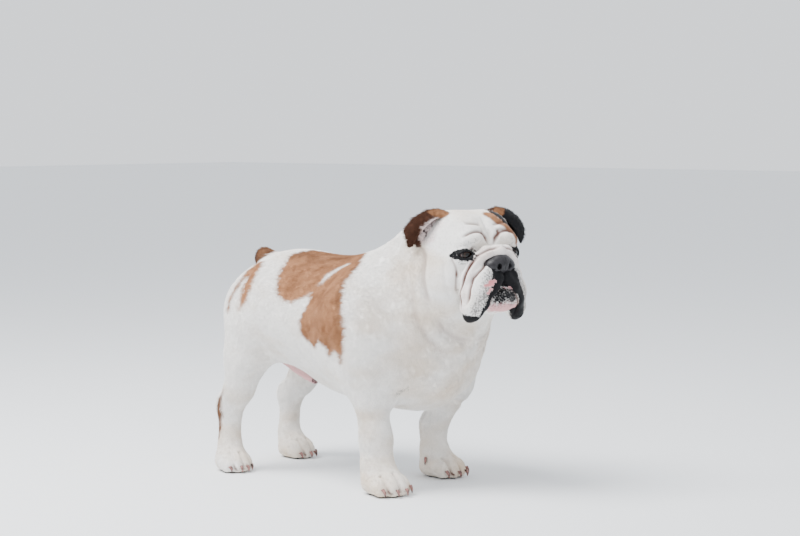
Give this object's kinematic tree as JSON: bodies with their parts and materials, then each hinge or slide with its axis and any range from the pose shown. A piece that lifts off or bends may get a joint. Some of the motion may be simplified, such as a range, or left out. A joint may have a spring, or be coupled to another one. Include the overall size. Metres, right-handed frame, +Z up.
{
  "type": "standing english bulldog model",
  "caption": "Life-size still model of an adult English bulldog standing on all fours, with a broad wrinkled head, rose ears, undershot jaw and short tail.",
  "frame": {"origin": "on the floor under the middle of the model's length and width", "axes": "+X along the body towards the nose, +Y to the dog's left, +Z up"},
  "size_m": [0.5674, 0.3108, 0.4371],
  "materials": {
    "coat": "matt, short smooth hair",
    "lips": "matt, mottled dark skin under thin hair",
    "nose": "satin, slightly moist",
    "ear": "matt, short soft hair",
    "tail": "matt, short hair",
    "eye": "glossy",
    "claw": "satin horn"
  },
  "bodies": {
    "root": {"foreleg_right": "coat", "foreleg_left": "coat", "thigh_right": "coat", "hind_shin_right": "coat", "thigh_left": "coat", "hind_shin_left": "coat", "torso": "coat", "neck": "coat", "tail": "tail", "forepaw_right": "coat", "claw_fore_right_1": "claw", "claw_fore_right_2": "claw", "claw_fore_right_3": "claw", "claw_fore_right_4": "claw", "dewclaw_right": "claw", "forepaw_left": "coat", "claw_fore_left_1": "claw", "claw_fore_left_2": "claw", "claw_fore_left_3": "claw", "claw_fore_left_4": "claw", "dewclaw_left": "claw", "hindpaw_right": "coat", "claw_hind_right_1": "claw", "claw_hind_right_2": "claw", "claw_hind_right_3": "claw", "claw_hind_right_4": "claw", "hindpaw_left": "coat", "claw_hind_left_1": "claw", "claw_hind_left_2": "claw", "claw_hind_left_3": "claw", "claw_hind_left_4": "claw", "eye_right": "eye", "eye_left": "eye", "head": "coat", "nose": "nose", "muzzle": "lips", "lower_jaw": "lips", "ear_right": "ear", "ear_left": "ear"}
  },
  "joints": []
}
